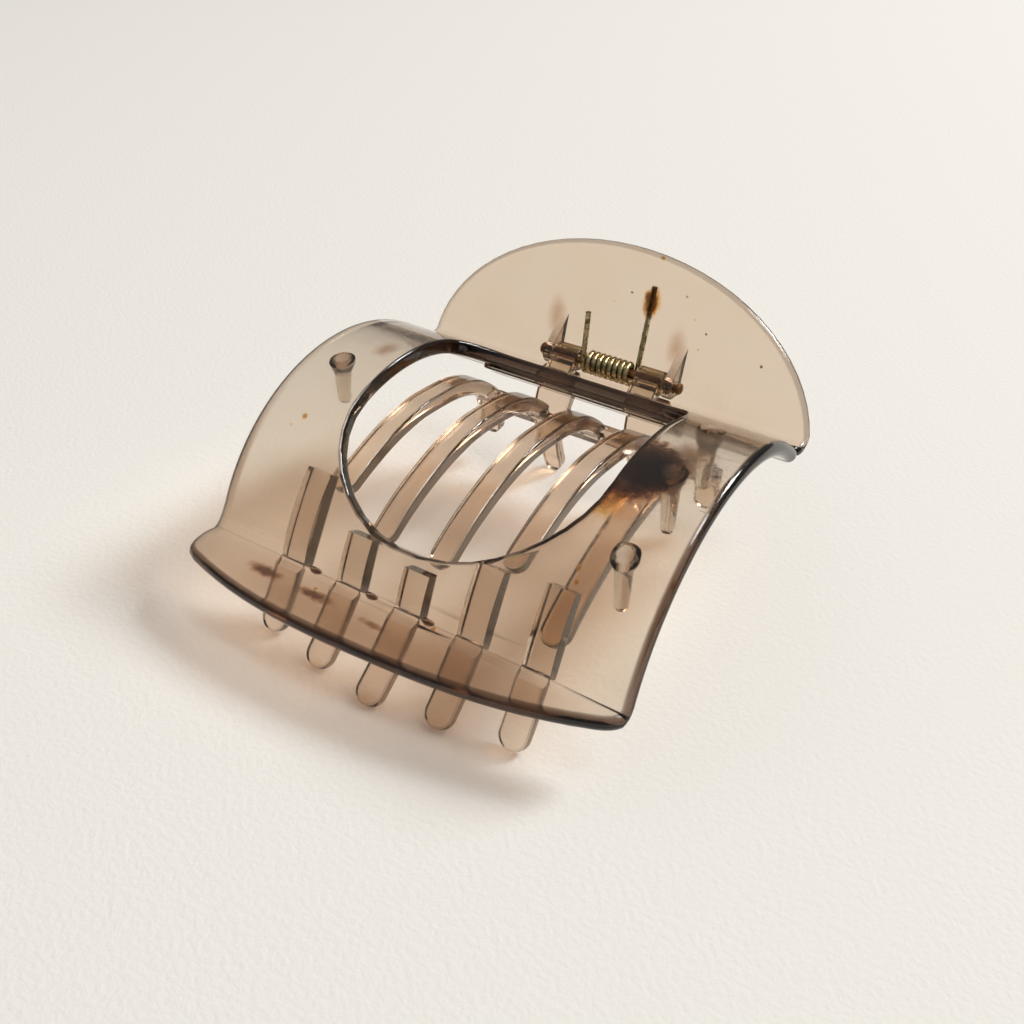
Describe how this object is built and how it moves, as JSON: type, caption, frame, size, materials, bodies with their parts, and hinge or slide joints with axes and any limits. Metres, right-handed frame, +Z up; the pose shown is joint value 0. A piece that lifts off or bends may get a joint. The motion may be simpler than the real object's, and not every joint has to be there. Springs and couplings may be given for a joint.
{
  "type": "flat claw clip",
  "caption": "Flat hair claw clip of translucent plastic: an arched cover with a rounded hole, sprung at a hinge pin to a claw with long curved teeth and a half-round thumb tab.",
  "frame": {"origin": "middle of the footprint, on the surface that the teeth stand on", "axes": "+X along the hinge, +Y from the cover's lip towards the thumb tab, +Z up"},
  "size_m": [0.0896, 0.0908, 0.0526],
  "materials": {
    "smoke_plastic": "clear smoky brown, glossy",
    "smoke_plastic_claw": "clear smoky brown, glossy",
    "pin_steel": "worn, slightly tarnished",
    "spring_brass": "dull, tarnished"
  },
  "bodies": {
    "cover_body": {"cover": "smoke_plastic", "hinge_pin": "pin_steel"},
    "claw_body": {"claw": "smoke_plastic_claw", "spring": "spring_brass"}
  },
  "joints": [
    {"name": "claw_hinge", "type": "hinge", "parent": "cover_body", "child": "claw_body", "pos_m": [0.00254, 0.03385, 0.0302], "axis": [1, 0, 0], "range_deg": [0, 35], "stiffness_Nm_per_rad": 0.05, "springref_deg": -45.84}
  ]
}
